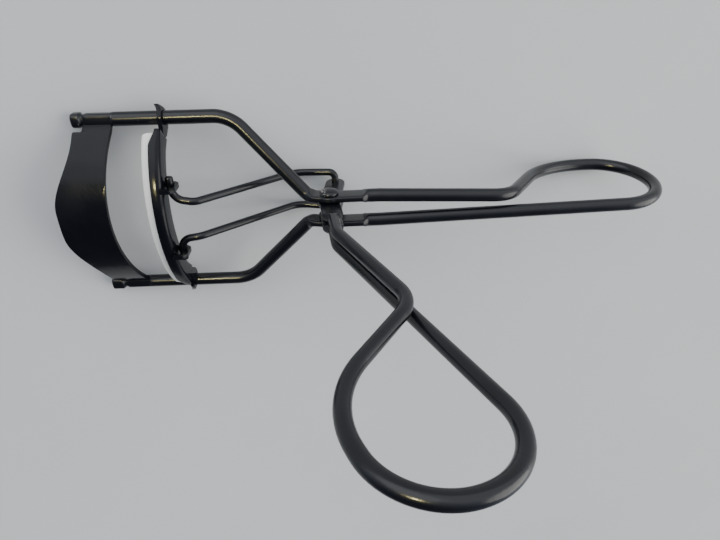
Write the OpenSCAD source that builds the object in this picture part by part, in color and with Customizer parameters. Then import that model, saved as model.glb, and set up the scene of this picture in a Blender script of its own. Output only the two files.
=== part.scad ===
// Eyelash curler: two bent-wire handles that turn on one rivet, and a spring-free
// linkage that draws a rubber-padded lower jaw along the frame's rods.
//
// The mechanism is drawn square to itself first: X along the rivet, Y towards the jaws
// and Z away from the fixed handle. as_it_rests() then lays it on the plane Z = 0, on
// its two rod tips and the bulge of the fixed finger loop, with the middle of its base
// at the origin.

/* [Frame wire] */
// Diameter of the frame wire
frame_wire_d = 2.5; // [2.2:0.1:2.6]
// Distance between the two jaw rods, centre to centre
rod_spacing = 33.4; // [32:0.2:35]
// Distance from the rivet to the corners where the rods start
corner_y = 17.5; // [16:0.5:19]
// How far those corners lie below the rivet
corner_drop = 2.8; // [2:0.2:3.4]
// Upward slope of the rods, in degrees
rod_pitch = 5.8; // [4:0.2:7]
// Length of a rod from its corner to its tip
rod_length = 28; // [27.6:0.1:30]
// Bend radius at the rods' corners
corner_bend = 7; // [4:0.5:8]

/* [Fixed handle] */
// Downward slope of the fixed handle behind the rivet, in degrees
handle_pitch = 7; // [6:0.5:8]
// Distance along it from the rivet to where its finger loop leaves the strand
fixed_kink = 33.9; // [33:0.1:34.4]
// Angle at which the loop leaves the strand, in degrees
fixed_kink_angle = 56.5; // [54:0.5:59]
// Bend radius of the long side of the loop
fixed_crown_r = 18; // [16:0.1:18.5]
// Distance from the rivet to the centre of the loop's round end
fixed_reach = 56.7; // [56.4:0.1:60]
// Width of the loop, centre to centre of its wire
fixed_loop_w = 18.4; // [17:0.1:18.8]

/* [Moving handle] */
// Diameter of the moving handle's wire
lever_wire_d = 2.1; // [1.8:0.1:2.1]
// Length of the handle's root, from the rivet to its elbow
root_length = 12.5; // [11:0.1:13]
// Angle between the root and the jaw direction, in degrees
root_angle = 102; // [100:0.5:106]
// Angle between the two handles at rest, in degrees
handle_opening = 65.9; // [64:0.1:70]
// Distance from the elbow to where its finger loop leaves the strand
lever_kink = 23.6; // [23:0.1:24.1]
// Angle at which the loop leaves the strand, in degrees
lever_kink_angle = 59.2; // [57:0.1:61]
// Bend radius of the long side of the loop
lever_crown_r = 13.2; // [12:0.1:13.6]
// Distance from the elbow to the centre of the loop's round end
lever_reach = 42.3; // [42:0.1:45]
// Width of the loop, centre to centre of its wire
lever_loop_w = 17.7; // [16.5:0.1:18]

/* [Pivot] */
// Thickness of the frame wire where it is pressed flat
frame_flat_t = 1.2; // [1:0.05:1.2]
// Thickness of the lever wire where it is pressed flat
lever_flat_t = 1.1; // [0.9:0.05:1.1]
// Width of the flattened wires
flat_w = 3.8; // [3.4:0.1:3.9]
// Diameter of the rivet's shank
rivet_d = 1.6; // [1.4:0.1:1.7]
// Diameter of the rivet's heads
rivet_head_d = 3.5; // [3:0.1:3.8]
// Length of the lever's crank arms
crank_r = 9.8; // [9.6:0.1:9.9]

/* [Jaws] */
// Radius of the curve that both jaws follow
jaw_r = 20.5; // [20:0.1:21]
// Height of that curve's middle above the rods
jaw_rise = 8; // [7.8:0.1:8.2]
// Thickness of the upper jaw's sheet
jaw_sheet = 0.8; // [0.6:0.05:0.9]
// Thickness of the lower jaw's sheet
carrier_sheet = 0.75; // [0.6:0.05:0.8]
// Thickness of the rubber pad, measured across the lash line
pad_t = 2.8; // [2.4:0.1:2.8]
// Distance of the lower jaw's back plate from the rods' corners, at rest
carrier_y = 11.5; // [11.5:0.1:11.7]

/* [Link] */
// Diameter of the link wire
link_wire_d = 1.4; // [1.2:0.1:1.4]

/* [Hidden] */
$fn = 64;

run_gap = 0.08;                 // radial clearance of a running fit
side_gap = 0.1;                 // gap between flat faces that slide on each other
rod_step = 0.01;                // a straight stretch is this much finer in radius than a bend
rod_lap = 0.05;                 // how far a straight stretch runs into a bend
enamel = "#17181c";
rubber = "#f2f0ea";

// Resting place
rest_pitch = 14.39;             // tips the rods down until three points touch the table
rest_lift = 12.472;             // height of the rivet's axis above the table
rest_shift = 9.801;              // puts the middle of the base at the origin

module as_it_rests() {
    translate([0, rest_shift, rest_lift]) rotate([-rest_pitch, 0, 0]) children();
}

// Jaw frame: Y runs along the rods from their corners, Z square to them
module in_jaw_frame() {
    translate([0, corner_y, -corner_drop]) rotate([rod_pitch, 0, 0]) children();
}
function jaw_point(x, y, z) = [
    x,
    corner_y + y * cos(rod_pitch) - z * sin(rod_pitch),
    -corner_drop + y * sin(rod_pitch) + z * cos(rod_pitch)
];

// Handle frames: a distance along a handle and a height towards its loop's bulge
fixed_angle = 180 + handle_pitch;
lever_angle = fixed_angle - handle_opening;
elbow = root_length * [0, cos(root_angle), sin(root_angle)];
function fixed_point(x, along, bulge) = [
    x,
    along * cos(fixed_angle) - bulge * sin(fixed_angle),
    along * sin(fixed_angle) + bulge * cos(fixed_angle)
];
function lever_point(x, along, bulge) = elbow + [
    x,
    along * cos(lever_angle) + bulge * sin(lever_angle),
    along * sin(lever_angle) - bulge * cos(lever_angle)
];
function root_point(x, along) = [x, along * cos(root_angle), along * sin(root_angle)];

// ---- Bent wire: straight cylinders joined by true arcs ----
function unit(v) = v / norm(v);
function turn(p, i) = acos(unit(p[i] - p[i - 1]) * unit(p[i + 1] - p[i]));
function setback(p, r, i) = (i == 0 || i == len(p) - 1) ? 0 : r[i] * tan(turn(p, i) / 2);

module rod_between(a, b, d) {
    v = b - a;
    translate(a)
        rotate([0, acos(v[2] / norm(v)), atan2(v[1], v[0])])
            cylinder(d = d, h = norm(v), $fn = 48);
}

// The arc that rounds the corner between directions a_dir and b_dir, starting at a_end
module wire_bend(a_end, a_dir, b_dir, r, d) {
    n = unit(cross(a_dir, b_dir));
    inward = cross(n, a_dir);
    c = a_end + inward * r;
    multmatrix([
        [-inward[0], a_dir[0], n[0], c[0]],
        [-inward[1], a_dir[1], n[1], c[1]],
        [-inward[2], a_dir[2], n[2], c[2]],
        [0, 0, 0, 1]
    ])
        rotate_extrude(angle = acos(a_dir * b_dir), $fn = 96)
            translate([r, 0]) circle(d = d, $fn = 48);
}

// points is the route's corners and radii the bend at each; the ends' radii are unused
module bent_wire(points, radii, d) {
    for (i = [0 : len(points) - 2]) {
        dir = unit(points[i + 1] - points[i]);
        start = points[i] + dir * setback(points, radii, i);
        finish = points[i + 1] - dir * setback(points, radii, i + 1);
        into_start = i > 0 ? rod_lap : 0;
        into_finish = i < len(points) - 2 ? rod_lap : 0;
        rod_between(start - dir * into_start, finish + dir * into_finish, d - 2 * rod_step);
        if (i < len(points) - 2)
            wire_bend(finish, dir, unit(points[i + 2] - points[i + 1]), radii[i + 1], d);
    }
}

// Corners of a finger loop of a given width, as [x, along, bulge]; the strands are x apart
function loop_route(x, kink, angle, reach, w) = [
    [x, kink, 0],
    [0, kink + w / tan(angle), w],
    [0, reach + w / 2, w],
    [-x, reach + w / 2, 0]
];
kink_bend = 6;
loop_x = 1.35;                  // half distance between the strands at a loop
function loop_bends(crown, w) = [kink_bend, crown, w / 2 - 0.06, w / 2 - 0.06];

// ---- Pivot stack, counted outwards from the middle of the rivet ----
lever_flat_in = 0.65;
lever_flat_x = lever_flat_in + lever_flat_t / 2;
frame_flat_in = lever_flat_in + lever_flat_t + side_gap;
frame_flat_x = frame_flat_in + frame_flat_t / 2;
stack_half = frame_flat_in + frame_flat_t;
frame_flat_end = 6.8;           // length of the frame's flat behind the rivet
frame_flat_front = 2.4;         // and in front of it
lever_flat_end = 6.4;           // length of the lever's flat above the rivet

// A strip pressed flat, from the pivot outwards at an angle in the Y-Z plane
module flat_strip(length, angle) {
    rotate(angle) translate([0, -flat_w / 2]) square([length, flat_w]);
}

// Extrudes a Y-Z outline along X, from x = inner outwards; side is 1 or -1
module flat_plate(inner, thickness, side) {
    x0 = side > 0 ? inner : -inner - thickness;
    translate([x0, 0, 0]) rotate([90, 0, 90]) linear_extrude(thickness) children();
}

// Round wire that tapers into a flat strip, from a towards b
module shoulder(a, b, d, tip_d) {
    v = b - a;
    translate(a)
        rotate([0, acos(v[2] / norm(v)), atan2(v[1], v[0])])
            cylinder(d1 = tip_d, d2 = d, h = norm(v), $fn = 48);
}

// ---- Frame: jaw rods, pivot flats, fixed handle and its finger loop in one wire ----
rod_x = rod_spacing / 2;
inner_corner = [frame_flat_x, 3.9, -0.45];
inner_bend = 2.5;
shoulder_len = 1.6;
flat_lap = 1.2;                 // the shoulders start this far inside the flats' ends

module frame_side(side) {
    tip = jaw_point(rod_x, rod_length, 0);
    corner = jaw_point(rod_x, 0, 0);
    front = [frame_flat_x, frame_flat_front - 0.6, -0.25];
    route = [for (p = [tip, corner, inner_corner, front]) [p[0] * side, p[1], p[2]]];
    bent_wire(route, [0, corner_bend, inner_bend, 0], frame_wire_d);
    flat_plate(frame_flat_in, frame_flat_t, side)
        difference() {
            union() {
                circle(d = flat_w + 0.5);
                flat_strip(frame_flat_end, 180 + handle_pitch);
                flat_strip(frame_flat_front, -4);
            }
            circle(d = rivet_d + run_gap / 2);
        }
    shoulder(fixed_point(side * frame_flat_x, frame_flat_end - flat_lap, 0),
             fixed_point(side * frame_flat_x, frame_flat_end - flat_lap + shoulder_len, 0),
             frame_wire_d, frame_flat_t);
}

// Each strand leaves its flat straight, then turns a little inwards
frame_strand = frame_flat_end - flat_lap + shoulder_len - rod_lap;
strand_corner = frame_flat_end + 2.4;
strand_bend = 12;
fixed_loop = loop_route(loop_x, fixed_kink, fixed_kink_angle, fixed_reach, fixed_loop_w);
fixed_corners = concat(
    [[frame_flat_x, frame_strand, 0], [frame_flat_x, strand_corner, 0]], fixed_loop,
    [[-frame_flat_x, strand_corner, 0], [-frame_flat_x, frame_strand, 0]]);
fixed_route = [for (p = fixed_corners) fixed_point(p[0], p[1], p[2])];
fixed_bends = concat([0, strand_bend], loop_bends(fixed_crown_r, fixed_loop_w),
                     [strand_bend, 0]);

module frame_wire() color(enamel) as_it_rests()
    difference() {
        union() {
            for (side = [1, -1]) frame_side(side);
            bent_wire(fixed_route, fixed_bends, frame_wire_d);
        }
        // the slots that hold the upper jaw's tabs, and the rivet's bore
        in_jaw_frame() jaw_shell(jaw_sheet + 0.06, tab_from - 0.03, tab_to + 0.03, 89);
        clear_pivot();
    }

// Keeps the wire's front ends out of the gap between the flats and off the rivet
module clear_pivot() {
    gap = 2 * frame_flat_in;
    translate([-gap / 2, -4.6, -4]) cube([gap, 8.2, 8]);
    translate([-stack_half, 0, 0]) rotate([0, 90, 0])
        cylinder(d = rivet_d + run_gap / 2, h = 2 * stack_half);
    for (side = [1, -1])
        translate([side > 0 ? stack_half : -stack_half - 3, -2.2, -3]) cube([3, 4.2, 6]);
}

// ---- Curved sheet shared by both jaws ----
// A shell of the jaw curve, thickness t, between y = from and y = to, as wide as half_angle
module jaw_shell(t, from, to, half_angle) {
    translate([0, to, jaw_rise - jaw_r]) rotate([90, 0, 0]) rotate(90 - half_angle)
        rotate_extrude(angle = 2 * half_angle, $fn = 180)
            translate([jaw_r - t / 2, 0]) square([t, to - from]);
}

// Circle through (-w, edge), (0, edge + bulge) and (w, edge), for bowed edges
module bow(w, edge, bulge) {
    r = (w * w + bulge * bulge) / (2 * abs(bulge));
    translate([0, edge + bulge - sign(bulge) * r]) circle(r = r, $fn = 180);
}

// ---- Upper jaw: curved plate whose tabs sit in the rods' slots ----
tab_from = 20.75;
tab_to = 25.7;
plate_half = 14.8;
plate_edge = 27.4;
plate_bulge = 3.7;
crown_half = 2.5;               // half width of the flat top of the front edge's bulge
crown_slope = 11.5;             // width over which each side of it falls away
lash_edge_bulge = 1.45;
tab_x = rod_x + 0.3;
tab_depth = 0.9;                // how far a tab reaches below its rod's axis

// The front edge, a bell: level at the sides, bulging forwards in the middle
function smooth_step(t) = t * t * (3 - 2 * t);
function front_edge(x) =
    plate_edge + plate_bulge * (1 - smooth_step(min(max(abs(x) - crown_half, 0) / crown_slope, 1)));

module upper_jaw_outline() {
    edge_steps = 18;
    front = [for (i = [edge_steps : -1 : -edge_steps]) plate_half * i / edge_steps];
    difference() {
        polygon(concat(
            [[tab_x, 0], [tab_x, tab_to], [plate_half, tab_to]],
            [for (x = front) [x, front_edge(x)]],
            [[-plate_half, tab_to], [-tab_x, tab_to], [-tab_x, 0]]));
        bow(plate_half, tab_from, lash_edge_bulge);
        translate([-tab_x - 1, -5]) square([2 * tab_x + 2, tab_from + 5]);
    }
}

module upper_jaw() color(enamel) as_it_rests() in_jaw_frame()
    intersection() {
        jaw_shell(jaw_sheet, 18, 34, 62);
        translate([0, 0, -tab_depth]) linear_extrude(30) upper_jaw_outline();
    }

// ---- Rivet ----
head_h = 1;
module rivet_head() {
    ball_r = (rivet_head_d * rivet_head_d / 4 + head_h * head_h) / (2 * head_h);
    rotate_extrude($fn = 64)
        intersection() {
            translate([0, head_h - ball_r]) circle(r = ball_r, $fn = 120);
            square([rivet_head_d / 2, head_h]);
        }
}
module pivot_rivet() color(enamel) as_it_rests() {
    translate([-stack_half, 0, 0]) rotate([0, 90, 0])
        cylinder(d = rivet_d, h = 2 * stack_half);
    for (side = [1, -1])
        translate([side * stack_half, 0, 0]) rotate([0, side * 90, 0]) rivet_head();
}

// ---- Lever: moving handle, its finger loop and the two crank arms in one wire ----
pin_d = link_wire_d;
module lever_flat(side) {
    flat_plate(lever_flat_in, lever_flat_t, side)
        difference() {
            union() {
                circle(d = flat_w + 0.5);
                flat_strip(lever_flat_end, root_angle);
                flat_strip(crank_r, -90);
                translate([0, -crank_r]) circle(d = flat_w);
            }
            circle(d = rivet_d + 2 * run_gap);
            translate([0, -crank_r]) circle(d = pin_d + 2 * run_gap);
        }
    shoulder(root_point(side * lever_flat_x, lever_flat_end - flat_lap),
             root_point(side * lever_flat_x, lever_flat_end - flat_lap + shoulder_len),
             lever_wire_d, lever_flat_t);
}
lever_strand = lever_flat_end - flat_lap + shoulder_len - rod_lap;
lever_loop = loop_route(lever_flat_x, lever_kink, lever_kink_angle, lever_reach, lever_loop_w);
lever_route = concat([root_point(lever_flat_x, lever_strand), lever_point(lever_flat_x, 0, 0)],
                     [for (p = lever_loop) lever_point(p[0], p[1], p[2])],
                     [lever_point(-lever_flat_x, 0, 0), root_point(-lever_flat_x, lever_strand)]);
elbow_bend = 5;
lever_bends = concat([0, elbow_bend], loop_bends(lever_crown_r, lever_loop_w), [elbow_bend, 0]);

module lever_wire() color(enamel) as_it_rests() {
    for (side = [1, -1]) lever_flat(side);
    bent_wire(lever_route, lever_bends, lever_wire_d);
}

// ---- Link: a U of thin wire; its closed end is the crank pin ----
hook_y = 10.6;                  // where the link's hooks pass through the lower jaw's tabs
hook_z = 6.9;
hook_x = [4, 8.2];             // where a hook starts and ends
leg_top = [3.4, 23.6, 5];       // bend where a leg turns down
leg_foot = [3.4, 8, -10.3];     // bend where it levels out again
pin_leg_x = 3.7;                // legs beside the crank arms
link_bends = [0, 2.2, 2.5, 5, 1.2, 1.2, 5, 2.5, 2.2, 0];

module link_wire() color(enamel) as_it_rests() {
    hook = jaw_point(0, hook_y, hook_z);
    half = [
        [hook_x[1], hook[1], hook[2]],
        [hook_x[0], hook[1], hook[2]],
        leg_top,
        leg_foot,
        [pin_leg_x, 0, -crank_r]
    ];
    route = concat(half, [for (i = [4 : -1 : 0]) [-half[i][0], half[i][1], half[i][2]]]);
    bent_wire(route, link_bends, link_wire_d);
}

// ---- Lower jaw: a channel for the pad, with ears on the rods and tabs for the link ----
wall_in = pad_t / 2 + 0.02;     // inner face of a channel wall, from the jaw curve
wall_half = 14.3;
lip_y = 13.5;                   // front edge of the walls
lip_half = 12.4;                // beyond this the front edge falls away
lip_fall = 1;
ear_d = 4.1;
ear_tip = 2.8;                  // how far an ear's point passes the rod's centre
ear_half = 1.9;                 // half height of the point's base
ear_root = 3;                   // how far an ear reaches back to the plate
wall_lap = 0.1;                 // the walls start this far inside the back plate
sheet_lap = 0.3;                // and the tabs end this far inside it
plate_inset = 0.05;             // the back plate's curved edges lie inside the walls' faces
tab_in = 6;
tab_t = 0.8;
tab_back = 9.3;                 // rear edge of a tab
tab_foot = 5.3;                 // its lower edge
tab_h = 4.5;
slot_rise = 1.3;                // travel of the link's hook in its slot
slot_half = link_wire_d / 2 + 0.16;
slot_y = hook_y + 0.05;

module channel_wall(radial_in) {
    intersection() {
        curved_band(radial_in, carrier_sheet, carrier_y + wall_lap, lip_y);
        translate([0, 0, -12]) linear_extrude(30)
            polygon([
                [-wall_half, carrier_y], [wall_half, carrier_y],
                [wall_half, lip_y - lip_fall], [lip_half, lip_y],
                [-lip_half, lip_y], [-wall_half, lip_y - lip_fall]
            ]);
    }
}

// A band of sheet that starts radial_in beyond the jaw curve
module curved_band(radial_in, t, from, to) {
    translate([0, to, jaw_rise - jaw_r]) rotate([90, 0, 0]) rotate(30)
        rotate_extrude(angle = 120, $fn = 180)
            translate([jaw_r + radial_in, 0]) square([t, to - from]);
}

module back_plate() {
    outer_r = jaw_r + wall_in + carrier_sheet - plate_inset;
    inner_r = jaw_r - wall_in - carrier_sheet + plate_inset;
    translate([0, carrier_y + carrier_sheet, 0]) rotate([90, 0, 0])
        linear_extrude(carrier_sheet)
            difference() {
                union() {
                    intersection() {
                        translate([0, jaw_rise - jaw_r])
                            difference() {
                                circle(r = outer_r, $fn = 180);
                                circle(r = inner_r, $fn = 180);
                            }
                        translate([-16, -1.5]) square([32, 14]);
                    }
                    for (side = [1, -1]) ear_outline(side);
                }
                for (side = [1, -1])
                    translate([side * rod_x, 0]) circle(d = frame_wire_d + 2 * run_gap);
            }
}

module ear_outline(side) {
    translate([side * rod_x, 0]) {
        circle(d = ear_d);
        polygon([[0, ear_half], [side * ear_tip, 0], [0, -ear_half]]);
        translate([side > 0 ? -ear_root : 0, -1.2]) square([ear_root, 3.4]);
    }
}

module link_tab(side) {
    x0 = side > 0 ? tab_in : -tab_in - tab_t;
    translate([x0, 0, 0]) rotate([90, 0, 90]) linear_extrude(tab_t)
        difference() {
            translate([tab_back, tab_foot])
                square([carrier_y + sheet_lap - tab_back, tab_h]);
            for (z = [hook_z, hook_z + slot_rise]) translate([slot_y, z]) circle(r = slot_half);
            translate([slot_y - slot_half, hook_z]) square([2 * slot_half, slot_rise]);
        }
}

module lower_jaw() color(enamel) as_it_rests() in_jaw_frame() {
    back_plate();
    for (radial_in = [wall_in, -wall_in - carrier_sheet]) channel_wall(radial_in);
    for (side = [1, -1]) link_tab(side);
}

// ---- Pad: replaceable rubber strip in the channel ----
pad_back = carrier_y + carrier_sheet + 0.02;
pad_front = 15;
pad_round = 0.6;
pad_half_angle = 46.5;

module jaw_pad() color(rubber) as_it_rests() in_jaw_frame()
    translate([0, pad_back, jaw_rise - jaw_r]) rotate([-90, 0, 0])
        rotate(-90 - pad_half_angle)
            rotate_extrude(angle = 2 * pad_half_angle, $fn = 180)
                translate([jaw_r - pad_t / 2, 0]) {
                    square([pad_t, pad_front - pad_back - pad_round]);
                    translate([pad_round, 0])
                        square([pad_t - 2 * pad_round, pad_front - pad_back]);
                    for (x = [pad_round, pad_t - pad_round])
                        translate([x, pad_front - pad_back - pad_round])
                            circle(r = pad_round, $fn = 32);
                }

frame_wire();
upper_jaw();
pivot_rivet();
lever_wire();
link_wire();
lower_jaw();
jaw_pad();
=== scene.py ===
import math

import bmesh
import bpy
from mathutils import Matrix, Vector


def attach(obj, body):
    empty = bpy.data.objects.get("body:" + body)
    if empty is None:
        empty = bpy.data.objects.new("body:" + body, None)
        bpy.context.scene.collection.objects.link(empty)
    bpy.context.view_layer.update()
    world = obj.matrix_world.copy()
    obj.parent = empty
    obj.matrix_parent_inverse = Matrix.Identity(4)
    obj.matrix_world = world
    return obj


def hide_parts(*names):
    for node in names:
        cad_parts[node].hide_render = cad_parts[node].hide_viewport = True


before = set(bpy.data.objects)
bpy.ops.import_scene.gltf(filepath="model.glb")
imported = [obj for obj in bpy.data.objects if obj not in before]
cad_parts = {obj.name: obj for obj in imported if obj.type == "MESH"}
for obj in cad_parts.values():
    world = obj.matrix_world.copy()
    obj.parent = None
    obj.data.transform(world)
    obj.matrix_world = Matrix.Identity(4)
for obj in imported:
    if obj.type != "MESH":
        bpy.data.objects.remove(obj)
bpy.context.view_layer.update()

# Lengths are in millimetres until a mesh is made; MM turns them into metres.
MM = 0.001


# ---- Frames of reference ----
# The pivot frame has the rivet on X and the jaws along +Y. AT_REST stands it on the table.
REST_PITCH = 14.39
PIVOT_AT_REST = (0, 9.801, 12.472)
AT_REST = (Matrix.Translation(PIVOT_AT_REST)
           @ Matrix.Rotation(math.radians(-REST_PITCH), 4, "X"))
# The jaw frame has Y along the rods, from the corners where they bend inwards.
ROD_PITCH = 5.8
ROD_CORNER = (0, 17.5, -2.8)
JAW = Matrix.Translation(ROD_CORNER) @ Matrix.Rotation(math.radians(ROD_PITCH), 4, "X")
JAW_AT_REST = AT_REST @ JAW
PIVOT_TO_JAW = JAW.inverted()

# Directions of the handles in the pivot frame, turned from +Y about X
FIXED_ANGLE = math.radians(187)
ROOT_ANGLE = math.radians(102)
ROOT_LENGTH = 12.5
LEVER_ANGLE = math.radians(121.1)


def jaw_point(x, y, z):
    return JAW @ Vector((x, y, z))


def root_point(x, along):
    """A point on the straight root of the moving handle, between the rivet and its elbow."""
    return Vector((x, along * math.cos(ROOT_ANGLE), along * math.sin(ROOT_ANGLE)))


def fixed_point(x, along, bulge):
    """A point a distance along the fixed handle, and a height towards its loop's bulge."""
    return Vector((x, along * math.cos(FIXED_ANGLE) - bulge * math.sin(FIXED_ANGLE),
                   along * math.sin(FIXED_ANGLE) + bulge * math.cos(FIXED_ANGLE)))


def lever_point(x, along, bulge):
    """The same for the moving handle, measured from its elbow."""
    return root_point(0, ROOT_LENGTH) + Vector((
        x, along * math.cos(LEVER_ANGLE) + bulge * math.sin(LEVER_ANGLE),
        along * math.sin(LEVER_ANGLE) - bulge * math.cos(LEVER_ANGLE)))


def ease(x):
    x = min(max(x, 0.0), 1.0)
    return x * x * (3 - 2 * x)


def mix(a, b, t):
    return a + (b - a) * t


# ---- Meshes ----
def finish_mesh(bm, name, transform, body, material, replaced):
    """Turns millimetres in a local frame into an object in the shared frame."""
    bmesh.ops.remove_doubles(bm, verts=bm.verts, dist=1e-5)
    bmesh.ops.recalc_face_normals(bm, faces=bm.faces)
    bmesh.ops.transform(bm, matrix=Matrix.Scale(MM, 4) @ transform, verts=bm.verts)
    mesh = bpy.data.meshes.new(name)
    bm.to_mesh(mesh)
    bm.free()
    mesh.polygons.foreach_set("use_smooth", [True] * len(mesh.polygons))
    mesh.materials.append(material)
    piece = bpy.data.objects.new(name, mesh)
    bpy.context.scene.collection.objects.link(piece)
    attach(piece, body)
    if replaced:
        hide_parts(replaced)
    return piece


def centre_line(corners, bends, step=0.5, bend_steps=14):
    """Points and directions along straight stretches joined by true arcs."""
    points, directions = [], []

    def setback(i):
        if i in (0, len(corners) - 1):
            return 0.0
        before = (corners[i] - corners[i - 1]).normalized()
        after = (corners[i + 1] - corners[i]).normalized()
        return bends[i] * math.tan(before.angle(after) / 2)

    for i in range(len(corners) - 1):
        heading = (corners[i + 1] - corners[i]).normalized()
        start = corners[i] + heading * setback(i)
        end = corners[i + 1] - heading * setback(i + 1)
        count = max(2, int((end - start).length / step))
        for k in range(count):
            points.append(start.lerp(end, k / count))
            directions.append(heading)
        if i == len(corners) - 2:
            points.append(end)
            directions.append(heading)
            break
        after = (corners[i + 2] - corners[i + 1]).normalized()
        angle = heading.angle(after)
        inward = heading.cross(after).normalized().cross(heading)
        radius = bends[i + 1]
        count = max(4, int(bend_steps * angle))
        for k in range(count):
            t = angle * k / count
            points.append(end + inward * radius * (1 - math.cos(t))
                          + heading * radius * math.sin(t))
            directions.append(heading * math.cos(t) + inward * math.sin(t))
    return points, directions


def lengths_along(points):
    total, lengths = 0.0, [0.0]
    for a, b in zip(points, points[1:]):
        total += (b - a).length
        lengths.append(total)
    return lengths


def superellipse(half_u, half_v, squareness, sides):
    """An outline round the origin: squareness 2 is an ellipse, and more is nearer a rectangle."""
    power = 2 / squareness
    outline = []
    for k in range(sides):
        c, s = math.cos(math.tau * k / sides), math.sin(math.tau * k / sides)
        outline.append((half_u * math.copysign(abs(c) ** power, c),
                        half_v * math.copysign(abs(s) ** power, s)))
    return outline


END_RINGS = 4
THINNEST = 0.02


def sweep(points, directions, section, sides=32, across=Vector((1, 0, 0)), end_round=0.35,
          wear_and_glint=None):
    """A closed bar along a line. section(i) gives half width, half height and squareness.

    With across set, the section's first axis stays as near to it as the line lets it.
    Without, the section is carried along without twisting.
    """
    bm = bmesh.new()
    wear_and_glint_layer = bm.verts.layers.float.new("wear_and_glint")
    rings = []
    u = None

    def add_ring(i, u, inset=0.0, ahead=0.0):
        half_u, half_v, squareness = section(i)
        v = directions[i].cross(u).normalized()
        centre = points[i] + directions[i] * ahead
        ring = []
        for du, dv in superellipse(max(half_u - inset, THINNEST), max(half_v - inset, THINNEST),
                                   squareness, sides):
            vert = bm.verts.new(centre + u * du + v * dv)
            vert[wear_and_glint_layer] = wear_and_glint(i) if wear_and_glint else 0.0
            ring.append(vert)
        rings.append(ring)

    last = len(points) - 1
    for i in range(len(points)):
        if across is not None:
            u = (across - directions[i] * across.dot(directions[i])).normalized()
        elif u is None:
            u = directions[i].orthogonal().normalized()
        else:
            u = directions[i - 1].rotation_difference(directions[i]) @ u
        if i == 0:
            for k in range(END_RINGS, 0, -1):
                t = math.pi / 2 * k / END_RINGS
                add_ring(i, u, end_round * (1 - math.cos(t)), -end_round * math.sin(t))
        add_ring(i, u)
        if i == last:
            for k in range(1, END_RINGS + 1):
                t = math.pi / 2 * k / END_RINGS
                add_ring(i, u, end_round * (1 - math.cos(t)), end_round * math.sin(t))
    for a, b in zip(rings, rings[1:]):
        for k in range(sides):
            bm.faces.new((a[k], a[(k + 1) % sides], b[(k + 1) % sides], b[k]))
    for ring in (rings[0], rings[-1]):
        middle = bm.verts.new(sum((vert.co for vert in ring), Vector()) / sides)
        middle[wear_and_glint_layer] = ring[0][wear_and_glint_layer]
        for k in range(sides):
            bm.faces.new((ring[k], ring[(k + 1) % sides], middle))
    return bm


def loft(rings):
    """A closed solid through rings of points that all have the same count."""
    bm = bmesh.new()
    bm.verts.layers.float.new("wear_and_glint")
    rings = [[bm.verts.new(point) for point in ring] for ring in rings]
    for a, b in zip(rings, rings[1:]):
        for j in range(len(a)):
            bm.faces.new((a[j], a[(j + 1) % len(a)], b[(j + 1) % len(a)], b[j]))
    for ring in (rings[0], rings[-1]):
        bmesh.ops.triangulate(bm, faces=[bm.faces.new(ring)])
    return bm


def smooth_outline(corners, rounds, steps=6):
    """A closed polygon with each corner rounded by its own radius."""
    outline = []
    count = len(corners)
    for i in range(count):
        here = Vector(corners[i])
        to_prev = Vector(corners[i - 1]) - here
        to_next = Vector(corners[(i + 1) % count]) - here
        half = to_prev.angle(to_next) / 2
        room = min(to_prev.length, to_next.length) * 0.49
        cut = min(rounds[i] / max(math.tan(half), 1e-6), room)
        if cut < 1e-3:
            outline.append(here)
            continue
        a, b = here + to_prev.normalized() * cut, here + to_next.normalized() * cut
        for k in range(steps + 1):
            t = k / steps
            outline.append(a * (1 - t) ** 2 + here * (2 * t * (1 - t)) + b * t * t)
    return outline


def plate(outline, holes, thickness, edge_round, cuts, place):
    """A flat sheet with rounded edges, cut into strips across X and then placed or bent.

    The sheet lies between z = 0 and z = thickness before place maps each point.
    """
    def is_rim(edge):
        level = [abs(face.normal.z) > 0.5 for face in edge.link_faces]
        return len(level) == 2 and level[0] != level[1]

    bm = bmesh.new()
    bm.verts.layers.float.new("wear_and_glint")
    edges = []
    for loop in [outline, *holes]:
        verts = [bm.verts.new((p[0], p[1], 0)) for p in loop]
        edges += [bm.edges.new((verts[k], verts[(k + 1) % len(verts)])) for k in range(len(verts))]
    filled = bmesh.ops.triangle_fill(bm, use_beauty=True, use_dissolve=False, edges=edges)
    faces = [g for g in filled["geom"] if isinstance(g, bmesh.types.BMFace)]
    if sum(f.normal.z for f in faces) > 0:
        bmesh.ops.reverse_faces(bm, faces=faces)
    raised = bmesh.ops.extrude_face_region(bm, geom=faces, use_keep_orig=True)["geom"]
    bmesh.ops.translate(bm, vec=(0, 0, thickness),
                        verts=[g for g in raised if isinstance(g, bmesh.types.BMVert)])
    bmesh.ops.recalc_face_normals(bm, faces=bm.faces)
    bmesh.ops.bevel(bm, geom=[edge for edge in bm.edges if is_rim(edge)], offset=edge_round,
                    segments=3, profile=0.5, affect="EDGES", clamp_overlap=True)
    for x in cuts:
        bmesh.ops.bisect_plane(bm, geom=bm.verts[:] + bm.edges[:] + bm.faces[:],
                               plane_co=(x, 0, 0), plane_no=(1, 0, 0), dist=1e-4)
    for vert in bm.verts:
        vert.co = place(vert.co)
    return bm


def even_normals(piece):
    """Shades flat faces flat and rounded edges round."""
    weighted = piece.modifiers.new("even_normals", "WEIGHTED_NORMAL")
    weighted.weight = 80
    weighted.keep_sharp = True


def join(*parts):
    """Merges bmeshes into the first one."""
    whole = parts[0]
    for part in parts[1:]:
        passing = bpy.data.meshes.new("passing")
        part.to_mesh(passing)
        part.free()
        whole.from_mesh(passing)
        bpy.data.meshes.remove(passing)
    return whole


# ---- Materials ----
def shader(name):
    material = bpy.data.materials.new(name)
    material.use_nodes = True
    tree = material.node_tree
    return material, tree, tree.nodes["Principled BSDF"]


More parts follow.
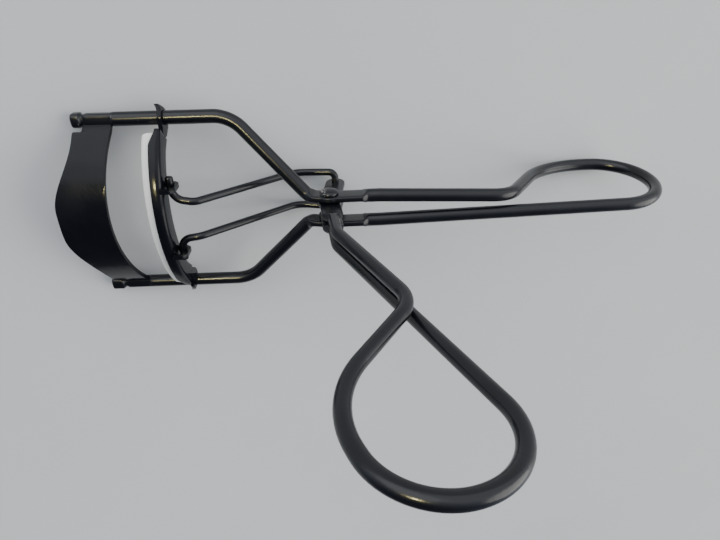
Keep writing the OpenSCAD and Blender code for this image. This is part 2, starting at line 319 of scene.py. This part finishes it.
def node(tree, kind, inputs=None, **settings):
    """A new node. Each input is another node's output to link, or a value to set."""
    made = tree.nodes.new(kind)
    for key, value in settings.items():
        setattr(made, key, value)
    for key, value in (inputs or {}).items():
        if isinstance(value, bpy.types.NodeSocket):
            tree.links.new(value, made.inputs[key])
        else:
            made.inputs[key].default_value = value
    return made


def ramp(tree, value, stops):
    made = node(tree, "ShaderNodeValToRGB", {"Fac": value})
    elements = made.color_ramp.elements
    while len(elements) < len(stops):
        elements.new(0.5)
    for element, (place, colour) in zip(elements, stops):
        element.position = place
        element.color = (*colour, 1) if len(colour) == 3 else colour
    return made.outputs["Color"]


def grey(level):
    return (level, level, level)


def noise(tree, where, per_metre, detail, roughness=0.55):
    return node(tree, "ShaderNodeTexNoise",
                {"Vector": where, "Scale": per_metre, "Detail": detail,
                 "Roughness": roughness}).outputs["Fac"]


def arithmetic(tree, operation, first, second):
    return node(tree, "ShaderNodeMath", {0: first, 1: second}, operation=operation).outputs[0]


BARE_ROUGHNESS = 0.45


def enamel_material(name, bare_amount, shine, smoothest):
    """Gloss black enamel on steel: soft orange peel, thin at edges, with a few bare specks.

    bare_amount is how far edges are worn, shine the specular level, smoothest the roughness
    where the gloss is best.
    """
    material, tree, surface = shader(name)
    where = node(tree, "ShaderNodeTexCoord").outputs["Object"]
    blotch = noise(tree, where, 160, 4)
    peel = noise(tree, where, 1500, 2)
    grain = noise(tree, where, 5200, 3, 0.65)
    # this attribute holds real scuffs, and on the rods also pale bare specks that are painted
    # highlights
    wear_and_glint_mark = node(tree, "ShaderNodeAttribute", attribute_name="wear_and_glint").outputs["Fac"]
    pointed = node(tree, "ShaderNodeNewGeometry").outputs["Pointiness"]
    edge = ramp(tree, pointed, [(0.56, grey(0)), (0.66, grey(1))])
    # the grain's peaks are bare metal; they start lower at worn edges, at scuffs and at the rods'
    # painted highlights
    wear_and_glint_level = arithmetic(tree, "ADD", arithmetic(tree, "MULTIPLY", edge, bare_amount), wear_and_glint_mark)
    limit = arithmetic(tree, "SUBTRACT", 1.0, wear_and_glint_level)
    over = arithmetic(tree, "SUBTRACT", grain, limit)
    bare_and_glint = ramp(tree, over, [(0.0, grey(0)), (0.12, grey(1))])

    paint = ramp(tree, blotch, [(0.3, (0.0034, 0.0038, 0.0058)), (0.7, (0.0060, 0.0066, 0.0092))])
    metal = ramp(tree, grain, [(0.35, (0.30, 0.29, 0.28)), (0.7, (0.52, 0.50, 0.48))])
    colour = node(tree, "ShaderNodeMix", {"Factor": bare_and_glint, 6: paint, 7: metal}, data_type="RGBA")
    tree.links.new(colour.outputs[2], surface.inputs["Base Color"])
    tree.links.new(arithmetic(tree, "MULTIPLY", bare_and_glint, 0.9), surface.inputs["Metallic"])

    sheen = ramp(tree, blotch, [(0.25, grey(smoothest)), (0.75, grey(smoothest + 0.08))])
    worn_sheen = node(tree, "ShaderNodeMix",
                      {"Factor": bare_and_glint, 6: sheen, 7: (*grey(BARE_ROUGHNESS), 1)},
                      data_type="RGBA")
    tree.links.new(worn_sheen.outputs[2], surface.inputs["Roughness"])

    height = arithmetic(tree, "ADD", arithmetic(tree, "MULTIPLY", bare_and_glint, -0.8), peel)
    bump = node(tree, "ShaderNodeBump", {"Height": height, "Strength": 0.35, "Distance": 0.00004})
    tree.links.new(bump.outputs["Normal"], surface.inputs["Normal"])
    surface.inputs["Specular IOR Level"].default_value = shine
    surface.inputs["IOR"].default_value = 1.5
    return material


def rubber_material():
    """Off-white silicone: matt, slightly translucent, with a moulded grain."""
    material, tree, surface = shader("pad_rubber")
    where = node(tree, "ShaderNodeTexCoord").outputs["Object"]
    cloud = noise(tree, where, 260, 3)
    grain = noise(tree, where, 6500, 2)
    tint = ramp(tree, cloud, [(0.3, (0.95, 0.925, 0.83)), (0.7, (0.98, 0.965, 0.89))])
    tree.links.new(tint, surface.inputs["Base Color"])
    sheen = ramp(tree, grain, [(0.3, grey(0.5)), (0.7, grey(0.64))])
    tree.links.new(sheen, surface.inputs["Roughness"])
    bump = node(tree, "ShaderNodeBump", {"Height": grain, "Strength": 0.25, "Distance": 0.00003})
    tree.links.new(bump.outputs["Normal"], surface.inputs["Normal"])
    surface.inputs["Subsurface Weight"].default_value = 0.12
    surface.inputs["Subsurface Radius"].default_value = (1.0, 0.9, 0.75)
    surface.inputs["Subsurface Scale"].default_value = 0.0006
    return material


def paper_material():
    """Plain pale paper: faint clouding and fibres."""
    material, tree, surface = shader("paper")
    where = node(tree, "ShaderNodeTexCoord").outputs["Object"]
    cloud = noise(tree, where, 9, 4)
    fibre = noise(tree, where, 2600, 4, 0.7)
    tint = ramp(tree, cloud, [(0.3, (0.62, 0.625, 0.615)), (0.7, (0.68, 0.68, 0.665))])
    tree.links.new(tint, surface.inputs["Base Color"])
    bump = node(tree, "ShaderNodeBump", {"Height": fibre, "Strength": 0.15, "Distance": 0.00004})
    tree.links.new(bump.outputs["Normal"], surface.inputs["Normal"])
    surface.inputs["Roughness"].default_value = 0.85
    return material


WIRE_ENAMEL = enamel_material("wire_enamel", 0.04, 0.4, 0.20)
SHEET_ENAMEL = enamel_material("sheet_enamel", 0.06, 0.2, 0.13)
PAD_RUBBER = rubber_material()


# ---- Bent wires ----
KINK_BEND = 6.0
END_CLEARANCE = 0.06


def loop_corners(place, x, kink, kink_angle, reach, width):
    """Corners of a handle's finger loop, from the kinked strand round to the straight one."""
    crown = kink + width / math.tan(math.radians(kink_angle))
    tip = reach + width / 2
    return [place(*p) for p in ((x, kink, 0), (0, crown, width), (0, tip, width), (-x, tip, 0))]


def loop_bends(crown_bend, width):
    end = width / 2 - END_CLEARANCE
    return [KINK_BEND, crown_bend, end, end]


# Where a wire passes the rivet it is pressed flat, with a round eye
FLAT_W = 3.8
EYE_R = 2.15
FLAT_SQUARENESS = 5.0


def flattening(distance, solid, fade):
    """1 where the wire is pressed flat, 0 where it is round."""
    return 1 - ease((distance - solid) / fade)


def flat_section(pressed, wire_r, flat_t, from_eye):
    """Half thickness, half width and squareness of a wire that is pressed flat by 0 to 1."""
    half_x = mix(wire_r, flat_t / 2, pressed)
    half_w = mix(wire_r, FLAT_W / 2, pressed)
    if abs(from_eye) < EYE_R:
        half_w = max(half_w, math.sqrt(EYE_R ** 2 - from_eye ** 2))
    return half_x, half_w, mix(2.0, FLAT_SQUARENESS, ease(pressed * 1.4))


# Frame: rods, diagonals, pivot flats, fixed handle and loop in one length of wire
ROD_X = 16.7
ROD_LENGTH = 28.0
FRAME_WIRE_R = 1.25
FRAME_FLAT_T = 1.2
FRAME_FLAT_X = 2.45
# where the rods' slots for the upper jaw's tabs start and end
SLOT_FROM, SLOT_TO = 20.75, 25.7
SHOULDER_Y, SHOULDER_Z = 3.9, -0.45
STRANDS_TURN_IN = 9.2
LOOP_X = 1.35
FIXED_LOOP = {"kink": 33.9, "kink_angle": 56.5, "reach": 56.7, "width": 18.4}
# at the rod's tip, its corner, the shoulder, the rivet, and where the strands turn in
FRAME_HALF_BENDS = [0, 7.0, 2.5, 4.0, 12.0]
FIXED_CROWN_BEND = 18.0
JAW_FLAT_END, JAW_FLAT_FADE = 2.6, 2.2
FIXED_FLAT_END, HANDLE_FLAT_FADE = 5.9, 1.3


# The rods were cut to slightly different lengths
TIP_TRIM, TIP_SPREAD = 0.35, 0.4


def frame_half(side):
    x = side * FRAME_FLAT_X
    tip = ROD_LENGTH - TIP_TRIM - TIP_SPREAD * side
    return [jaw_point(side * ROD_X, tip, 0), jaw_point(side * ROD_X, 0, 0),
            Vector((x, SHOULDER_Y, SHOULDER_Z)), Vector((x, 0, 0)),
            fixed_point(x, STRANDS_TURN_IN, 0)]


frame_corners = (frame_half(1) + loop_corners(fixed_point, LOOP_X, **FIXED_LOOP)
                 + frame_half(-1)[::-1])
frame_bends = (FRAME_HALF_BENDS + loop_bends(FIXED_CROWN_BEND, FIXED_LOOP["width"])
               + FRAME_HALF_BENDS[::-1])
frame_points, frame_directions = centre_line(frame_corners, frame_bends, step=0.2)
frame_lengths = lengths_along(frame_points)


def pivot_lengths(points, lengths, x):
    """Length along the wire at each of its two passes through the pivot."""
    marks = []
    for side in (1, -1):
        eye = Vector((side * x, 0, 0))
        near = min(range(len(points)), key=lambda i: (points[i] - eye).length)
        marks.append(lengths[near])
    return marks


frame_marks = pivot_lengths(frame_points, frame_lengths, FRAME_FLAT_X)


def frame_section(i):
    here = frame_lengths[i]
    first, second = here - frame_marks[0], here - frame_marks[1]
    # before the first eye and after the second the wire runs to the jaws
    to_jaw, to_loop = (-first, first) if abs(first) < abs(second) else (second, -second)
    if to_jaw > 0:
        pressed = flattening(to_jaw, JAW_FLAT_END, JAW_FLAT_FADE)
    else:
        pressed = flattening(to_loop, FIXED_FLAT_END, HANDLE_FLAT_FADE)
    half_x, half_w, squareness = flat_section(pressed, FRAME_WIRE_R, FRAME_FLAT_T,
                                              min(abs(first), abs(second)))
    local = PIVOT_TO_JAW @ frame_points[i]
    if local.y > SLOT_FROM - 0.6:
        # the split end is squeezed onto the jaw's tab, and a groove parts it from a square tip
        squeeze = (ease((local.y - SLOT_FROM + 0.4) / 0.4)
                   * (1 - ease((local.y - SLOT_TO + 0.3) / 0.3)))
        groove = math.exp(-((local.y - SLOT_TO) / 0.3) ** 2)
        block = ease((local.y - SLOT_TO - 0.3) / 0.3)
        half_x *= 1 - 0.10 * squeeze - 0.22 * groove + 0.02 * block
        half_w *= 1 - 0.20 * squeeze - 0.26 * groove + 0.05 * block
        squareness = 2 + 1.6 * max(squeeze, block)
    return half_x, half_w, squareness


RUBBED_RINGS = (15.7, 16.3)


def frame_wear_and_glints(i):
    """One rod's marks: two rings rubbed by the lower jaw's ear, and pale bare specks painted in as
    highlights at both ends of its slot and on its tip.
    """
    local = PIVOT_TO_JAW @ frame_points[i]
    if local.x < 0 or local.y < 0:
        return 0.0
    rings = sum(math.exp(-((local.y - at) / 0.16) ** 2) for at in RUBBED_RINGS)
    # painted highlights: pale bare bands beside both ends of the slot, and a bare tip
    glint_bands = sum(math.exp(-((local.y - at) / 0.22) ** 2)
                for at in (SLOT_FROM - 0.3, SLOT_TO + 0.5))
    tip = ease((local.y - ROD_LENGTH + 1.1) / 0.6)
    return min(0.50 * rings + 0.46 * glint_bands + 0.38 * tip, 0.55)


finish_mesh(
    sweep(frame_points, frame_directions, frame_section, sides=36, wear_and_glint=frame_wear_and_glints),
    "frame_wire_bent", AT_REST, "frame", WIRE_ENAMEL, "frame_wire")

# Lever: crank arms, pivot flats, moving handle and loop in one length of wire
LEVER_WIRE_R = 1.05
LEVER_FLAT_T = 1.1
LEVER_FLAT_X = 1.2
CRANK = 9.8
ARM_END = CRANK + FLAT_W / 2
LEVER_LOOP = {"kink": 23.6, "kink_angle": 59.2, "reach": 42.3, "width": 17.7}
# at the arm's end, the rivet and the elbow
LEVER_HALF_BENDS = [0, 3.0, 5.0]
LEVER_CROWN_BEND = 13.2
LEVER_FLAT_END = 5.5


def lever_half(side):
    x = side * LEVER_FLAT_X
    return [Vector((x, 0, -ARM_END)), Vector((x, 0, 0)), root_point(x, ROOT_LENGTH)]


lever_corners = (lever_half(1) + loop_corners(lever_point, LEVER_FLAT_X, **LEVER_LOOP)
                 + lever_half(-1)[::-1])
lever_bends = (LEVER_HALF_BENDS + loop_bends(LEVER_CROWN_BEND, LEVER_LOOP["width"])
               + LEVER_HALF_BENDS[::-1])
lever_points, lever_directions = centre_line(lever_corners, lever_bends, step=0.25)
lever_lengths = lengths_along(lever_points)
lever_marks = pivot_lengths(lever_points, lever_lengths, LEVER_FLAT_X)


def lever_section(i):
    here = lever_lengths[i]
    first, second = here - lever_marks[0], here - lever_marks[1]
    to_arm, to_loop = (-first, first) if abs(first) < abs(second) else (second, -second)
    pressed = 1.0 if to_arm > 0 else flattening(to_loop, LEVER_FLAT_END, HANDLE_FLAT_FADE)
    half_x, half_w, squareness = flat_section(pressed, LEVER_WIRE_R, LEVER_FLAT_T,
                                              min(abs(first), abs(second)))
    # the crank arms' ends are round
    from_end = min(here, lever_lengths[-1] - here)
    reach = FLAT_W / 2
    if from_end < reach:
        half_w = max(math.sqrt(max(reach ** 2 - (reach - from_end) ** 2, 0)), 0.3)
    return half_x, half_w, squareness


finish_mesh(
    sweep(lever_points, lever_directions, lever_section, sides=32, end_round=0.05),
    "lever_wire_bent", AT_REST, "lever", WIRE_ENAMEL, "lever_wire")

# Link: a U of thin wire whose closed end is the crank pin and whose ends hook outwards
LINK_R = 0.7
HOOK_Y, HOOK_Z = 10.6, 6.9
HOOK_TIP_X, HOOK_X = 7.9, 4
LEG_TOP, LEG_FOOT = (3.4, 23.6, 5), (3.4, 8, -10.3)
PIN_HALF = 3.7
hook = jaw_point(0, HOOK_Y, HOOK_Z)
link_half = [Vector(p) for p in ((HOOK_TIP_X, hook.y, hook.z), (HOOK_X, hook.y, hook.z),
                                 LEG_TOP, LEG_FOOT, (PIN_HALF, 0, -CRANK))]
link_corners = link_half + [Vector((-p.x, p.y, p.z)) for p in link_half[::-1]]
# at the hook's tip, its root, the leg's top and foot, and the pin
LINK_HALF_BENDS = [0, 2.2, 2.5, 5, 1.2]
link_bends = LINK_HALF_BENDS + LINK_HALF_BENDS[::-1]
link_points, link_directions = centre_line(link_corners, link_bends, step=0.4)
finish_mesh(
    sweep(link_points, link_directions, lambda i: (LINK_R, LINK_R, 2.0), sides=24, across=None,
          end_round=0.3),
    "link_wire_bent", AT_REST, "link", WIRE_ENAMEL, "link_wire")

# ---- Rivet: a shank with two domed heads, turned about X ----
STACK_HALF = 3.05
HEAD_R, HEAD_H = 1.75, 1.0
SHANK_R = 0.8
HEAD_RIM = 0.12
DOME_RINGS = 10


def rivet():
    bm = bmesh.new()
    wear_and_glint_layer = bm.verts.layers.float.new("wear_and_glint")
    profile = [(STACK_HALF + HEAD_H, 0.0)]
    for k in range(1, DOME_RINGS + 1):
        t = math.pi / 2 * k / DOME_RINGS
        profile.append((STACK_HALF + HEAD_RIM + (HEAD_H - HEAD_RIM) * math.cos(t) ** 0.8,
                        HEAD_R * math.sin(t)))
    profile += [(STACK_HALF + 0.02, HEAD_R - 0.03), (STACK_HALF, HEAD_R - 0.1),
                (STACK_HALF, SHANK_R)]
    profile += [(-x, r) for x, r in profile[::-1]]
    sides = 48
    rings = []
    for x, r in profile:
        if r == 0.0:
            rings.append([bm.verts.new((x, 0, 0))])
        else:
            rings.append([bm.verts.new((x, r * math.cos(math.tau * k / sides),
                                        r * math.sin(math.tau * k / sides)))
                          for k in range(sides)])
    for ring in rings:
        for vert in ring:
            # the head that faces up is speckled paler on its side near the jaws
            vert[wear_and_glint_layer] = 0.5 * ease(0.5 + vert.co.y / HEAD_R) if vert.co.x > STACK_HALF else 0.1
    for a, b in zip(rings, rings[1:]):
        for k in range(sides):
            corners = [a[k % len(a)], a[(k + 1) % len(a)], b[(k + 1) % len(b)], b[k % len(b)]]
            # next to a pole two corners are one vertex
            bm.faces.new(list(dict.fromkeys(corners)))
    return bm


finish_mesh(rivet(), "pivot_rivet_domed", AT_REST, "frame", WIRE_ENAMEL, "pivot_rivet")

# ---- Jaws: pressed sheet ----
JAW_R = 20.5
JAW_RISE = 8.0
JAW_CENTRE_Z = JAW_RISE - JAW_R
JAW_SHEET = 0.8
PLATE_HALF = 14.8
PLATE_STEPS = 24
PLATE_EDGE = 27.4
PLATE_BULGE = 3.7
CROWN_HALF, CROWN_SLOPE = 2.5, 11.5
LASH_BULGE = 1.45
TAB_X = ROD_X + 0.3


def on_arch(angle, y, out):
    """A point near the jaws' common arch; out is square to it."""
    return Vector(((JAW_R + out) * math.sin(angle), y,
                   JAW_CENTRE_Z + (JAW_R + out) * math.cos(angle)))


def bow(x, half, edge, bulge):
    """Height at x of the circle through (-half, edge), (0, edge + bulge) and (half, edge)."""
    radius = (half ** 2 + bulge ** 2) / (2 * bulge)
    return edge + bulge - radius + math.sqrt(radius ** 2 - x ** 2)


def front_edge(x):
    """The plate's front edge, a bell: level at the sides, bulging forwards in the middle."""
    return PLATE_EDGE + PLATE_BULGE * (1 - ease((abs(x) - CROWN_HALF) / CROWN_SLOPE))


def upper_jaw():
    xs = [PLATE_HALF * k / PLATE_STEPS for k in range(-PLATE_STEPS, PLATE_STEPS + 1)]
    front = [(x, front_edge(x)) for x in xs]
    rear = [(x, bow(x, PLATE_HALF, SLOT_FROM, LASH_BULGE)) for x in xs]
    corner = 0.35
    outline = [Vector(p) for p in front[1:-1]]
    outline += smooth_outline([front[-2], front[-1], (PLATE_HALF, SLOT_TO), (TAB_X, SLOT_TO),
                               (TAB_X, SLOT_FROM), rear[-1], rear[-2]],
                              [0, corner, corner, 0.15, 0.15, corner, 0])[1:-1]
    outline += [Vector(p) for p in rear[1:-1][::-1]]
    outline += smooth_outline([rear[1], rear[0], (-TAB_X, SLOT_FROM), (-TAB_X, SLOT_TO),
                               (-PLATE_HALF, SLOT_TO), front[0], front[1]],
                              [0, corner, 0.15, 0.15, corner, corner, 0])[1:-1]
    clean = []
    for p in outline:
        if not clean or (p - clean[-1]).length > 0.02:
            clean.append(p)
    cuts = [TAB_X * k / 30 for k in range(-29, 30)]
    return plate(clean, [], JAW_SHEET, 0.22, cuts,
                 lambda p: on_arch(math.asin(p.x / JAW_R), p.y, p.z - JAW_SHEET / 2))


upper_piece = finish_mesh(upper_jaw(), "upper_jaw_pressed", JAW_AT_REST, "frame",
                          SHEET_ENAMEL, "upper_jaw")
even_normals(upper_piece)

# Lower jaw: a channel along the arch, with ears round the rods and tabs for the link
PAD_T = 2.8
WALL_IN = PAD_T / 2 + 0.02
SHEET = 0.75
BACK_Y = 11.5
LIP_Y = 13.5
WALL_HALF = 14.3
LIP_HALF, LIP_FALL = 12.4, 1.0
EAR_HOLE = 1.33
CHANNEL_STEPS = 96


def channel():
    """A U section carried along the arch; its lips fall away towards both ends."""
    rings = []
    for k in range(CHANNEL_STEPS + 1):
        across = mix(-WALL_HALF, WALL_HALF, k / CHANNEL_STEPS)
        angle = math.asin(across / JAW_R)
        lip = LIP_Y - LIP_FALL * min(max((abs(across) - LIP_HALF) / 1.7, 0.0), 1.0)
        out, inside = WALL_IN + SHEET, WALL_IN
        front, back = BACK_Y + SHEET, BACK_Y
        corners = [(-out, lip), (-out, back), (out, back), (out, lip), (inside, lip),
                   (inside, front), (-inside, front), (-inside, lip)]
        rounds = [0.25, 1.0, 1.0, 0.25, 0.25, 0.2, 0.2, 0.25]
        rings.append([on_arch(angle, y, r) for r, y in smooth_outline(corners, rounds, steps=4)])
    return loft(rings)


def ear(side):
    """The flat end of the back plate, with a round hole for the rod and a pointed tip."""
    corners = [(-3.2, 2.3), (-1.4, 2.0), (0.5, 1.95), (1.4, 1.3), (2.5, 0.1), (1.4, -1.1),
               (0.6, -1.9), (-1.0, -1.9), (-2.0, -1.3), (-2.6, -0.4), (-3.2, 0.6)]
    rounds = [0.4, 1.6, 1.0, 0.5, 0.12, 0.5, 1, 1.2, 1, 1, 0.6]
    hole = [Vector((EAR_HOLE * math.cos(math.tau * k / 40), EAR_HOLE * math.sin(math.tau * k / 40)))
            for k in range(40)]

    def place(p):
        lean = 0.4 * max(p.x - 1.2, 0) ** 2
        return Vector((side * (ROD_X + p.x), BACK_Y + p.z + lean, p.y))
    return plate(smooth_outline(corners, rounds), [hole], SHEET, 0.2,
                 [1.4 + 0.2 * k for k in range(5)], place)


TAB_IN, TAB_T = 6.0, 0.8
TAB_BACK, TAB_FOOT, TAB_TOP = 9.3, 5.3, 9.8
TAB_CHAMFER = 0.8
HOOK_SLOT_Y = HOOK_Y + 0.05
HOOK_SLOT_R = LINK_R + 0.16
HOOK_SLOT_RISE = 1.3
HALF_TURN_STEPS = 16


def link_tab(side):
    """A tab behind the channel, with an upright slot for the link's hook."""
    corners = [(BACK_Y + 0.3, TAB_FOOT), (TAB_BACK + TAB_CHAMFER, TAB_FOOT),
               (TAB_BACK, TAB_FOOT + TAB_CHAMFER), (TAB_BACK, TAB_TOP - TAB_CHAMFER),
               (TAB_BACK + TAB_CHAMFER, TAB_TOP), (BACK_Y + 0.3, TAB_TOP)]
    slot = []
    for k in range(2 * HALF_TURN_STEPS):
        angle = math.pi * k / HALF_TURN_STEPS
        rise = HOOK_SLOT_RISE if k <= HALF_TURN_STEPS else 0
        slot.append(Vector((HOOK_SLOT_Y + HOOK_SLOT_R * math.cos(angle),
                            HOOK_Z + rise + HOOK_SLOT_R * math.sin(angle))))
    return plate(smooth_outline(corners, [0.1, 0.8, 0.5, 0.5, 0.8, 0.1]), [slot], TAB_T, 0.2,
                 (), lambda p: Vector((side * (TAB_IN + p.z), p.x, p.y)))


lower_piece = finish_mesh(join(channel(), ear(1), ear(-1), link_tab(1), link_tab(-1)),
                          "lower_jaw_pressed", JAW_AT_REST, "carrier", SHEET_ENAMEL,
                          "lower_jaw")
even_normals(lower_piece)

# ---- Pad: a soft strip whose front is crowned and whose ends are rounded ----
PAD_BACK = BACK_Y + SHEET + 0.02
PAD_FRONT = 15.0
# the strip stops a little short at its right end
PAD_LEFT, PAD_RIGHT = math.radians(-46.5), math.radians(43.5)
PAD_STEPS = 120
PAD_END_ROUND = 0.7


def jaw_pad():
    rings = []
    for k in range(PAD_STEPS + 1):
        angle = mix(PAD_LEFT, PAD_RIGHT, k / PAD_STEPS)
        from_end = min(angle - PAD_LEFT, PAD_RIGHT - angle) * JAW_R
        inside = max(PAD_END_ROUND - from_end, 0)
        shrink = PAD_END_ROUND - math.sqrt(max(PAD_END_ROUND ** 2 - inside ** 2, 0))
        half = PAD_T / 2 - shrink * 0.35
        front = PAD_FRONT - shrink * 0.6
        # rubber between the walls is held straight; past the lips it swells a little
        swell = 0.05 + 0.02 * math.sin(angle * 17) * math.cos(angle * 5.3)
        press = 0.06 * math.exp(-(angle / (0.8 * PAD_RIGHT)) ** 8)
        section = [(-half, PAD_BACK), (-half, LIP_Y), (-half - swell, LIP_Y + 0.35),
                   (-half + 0.02, front - 0.5), (-half + 0.2, front - 0.17), (-half + 0.55, front),
                   (-half * 0.25, front - press * 0.5), (0, front - press),
                   (half * 0.25, front - press * 0.5), (half - 0.55, front),
                   (half - 0.2, front - 0.17), (half - 0.02, front - 0.5),
                   (half + swell, LIP_Y + 0.35), (half, LIP_Y), (half, PAD_BACK)]
        rings.append([on_arch(angle, y, r) for r, y in section])
    return loft(rings)


pad_piece = finish_mesh(jaw_pad(), "jaw_pad_moulded", JAW_AT_REST, "carrier",
                        PAD_RUBBER, "jaw_pad")
even_normals(pad_piece)

# ---- Floor, light and camera ----
FLOOR_HALF = 1.2
floor_mesh = bpy.data.meshes.new("table_top")
floor_mesh.from_pydata([(-FLOOR_HALF, -FLOOR_HALF, 0), (FLOOR_HALF, -FLOOR_HALF, 0),
                        (FLOOR_HALF, FLOOR_HALF, 0), (-FLOOR_HALF, FLOOR_HALF, 0)],
                       [], [(0, 1, 2, 3)])
floor_mesh.materials.append(paper_material())
floor = bpy.data.objects.new("table_top", floor_mesh)
bpy.context.scene.collection.objects.link(floor)

# A pale room that is dark on the side where whoever holds the camera stands
DARK_SIDE = (-0.75, 0.38, 0.54)
ROOM_STRENGTH = 1.8
world = bpy.data.worlds.new("soft_room")
world.use_nodes = True
sky = world.node_tree
toward = node(sky, "ShaderNodeVectorMath",
              {0: node(sky, "ShaderNodeTexCoord").outputs["Generated"], 1: DARK_SIDE},
              operation="DOT_PRODUCT").outputs["Value"]
room = ramp(sky, toward, [(0.0, (0.80, 0.83, 0.88)), (0.12, (0.50, 0.53, 0.60)),
                          (0.30, (0.40, 0.43, 0.49)), (0.62, (0.14, 0.155, 0.19)),
                          (0.92, (0.05, 0.055, 0.07))])
sky.links.new(room, sky.nodes["Background"].inputs["Color"])
sky.nodes["Background"].inputs["Strength"].default_value = ROOM_STRENGTH
bpy.context.scene.world = world

MIDDLE = Vector((0, 0, 0.02))


def area_light(name, direction, distance, size, watts, colour):
    """A round lamp that faces the middle of the curler, in metres and watts."""
    lamp = bpy.data.lights.new(name, "AREA")
    lamp.shape = "DISK"
    lamp.size = size
    lamp.energy = watts
    lamp.color = colour
    holder = bpy.data.objects.new(name, lamp)
    away = Vector(direction).normalized()
    holder.location = MIDDLE + away * distance
    holder.rotation_euler = away.to_track_quat("Z", "Y").to_euler()
    bpy.context.scene.collection.objects.link(holder)
    return holder


area_light("window", (0.75, 0.45, 0.50), 1.4, 1.5, 5.5, (0.93, 0.96, 1.0))
area_light("far_window", (-0.10, -0.85, 0.50), 1.4, 1.4, 14.0, (1.0, 0.975, 0.89))
desk_lamp = area_light("desk_lamp", (0.285, 0.465, 0.84), 0.35, 0.02, 0.6, (1.0, 0.88, 0.40))
# it shows only as glints in the gloss, and doesn't light the table
desk_lamp.visible_diffuse = False

# The camera's place and two of its axes, in the pivot frame
CAMERA_PLACE = Vector((41.59, -12.65, 93.92))
CAMERA_RIGHT = Vector((-0.0208, -0.9976, -0.0657))
CAMERA_BACK = Vector((0.5016, -0.0672, 0.8625))
SENSOR_WIDTH, FOCAL_LENGTH = 36.0, 27.55
camera_up = CAMERA_BACK.cross(CAMERA_RIGHT).normalized()
turn = Matrix((CAMERA_RIGHT, camera_up, CAMERA_BACK)).transposed().to_4x4()
camera_data = bpy.data.cameras.new("camera")
camera_data.sensor_width = SENSOR_WIDTH
camera_data.lens = FOCAL_LENGTH
camera_data.clip_start = 0.005
camera = bpy.data.objects.new("camera", camera_data)
in_pivot_frame = AT_REST @ Matrix.Translation(CAMERA_PLACE) @ turn
camera.matrix_world = Matrix.Translation(in_pivot_frame.translation * MM) @ (
    in_pivot_frame.to_3x3().to_4x4())
bpy.context.scene.collection.objects.link(camera)
bpy.context.scene.camera = camera
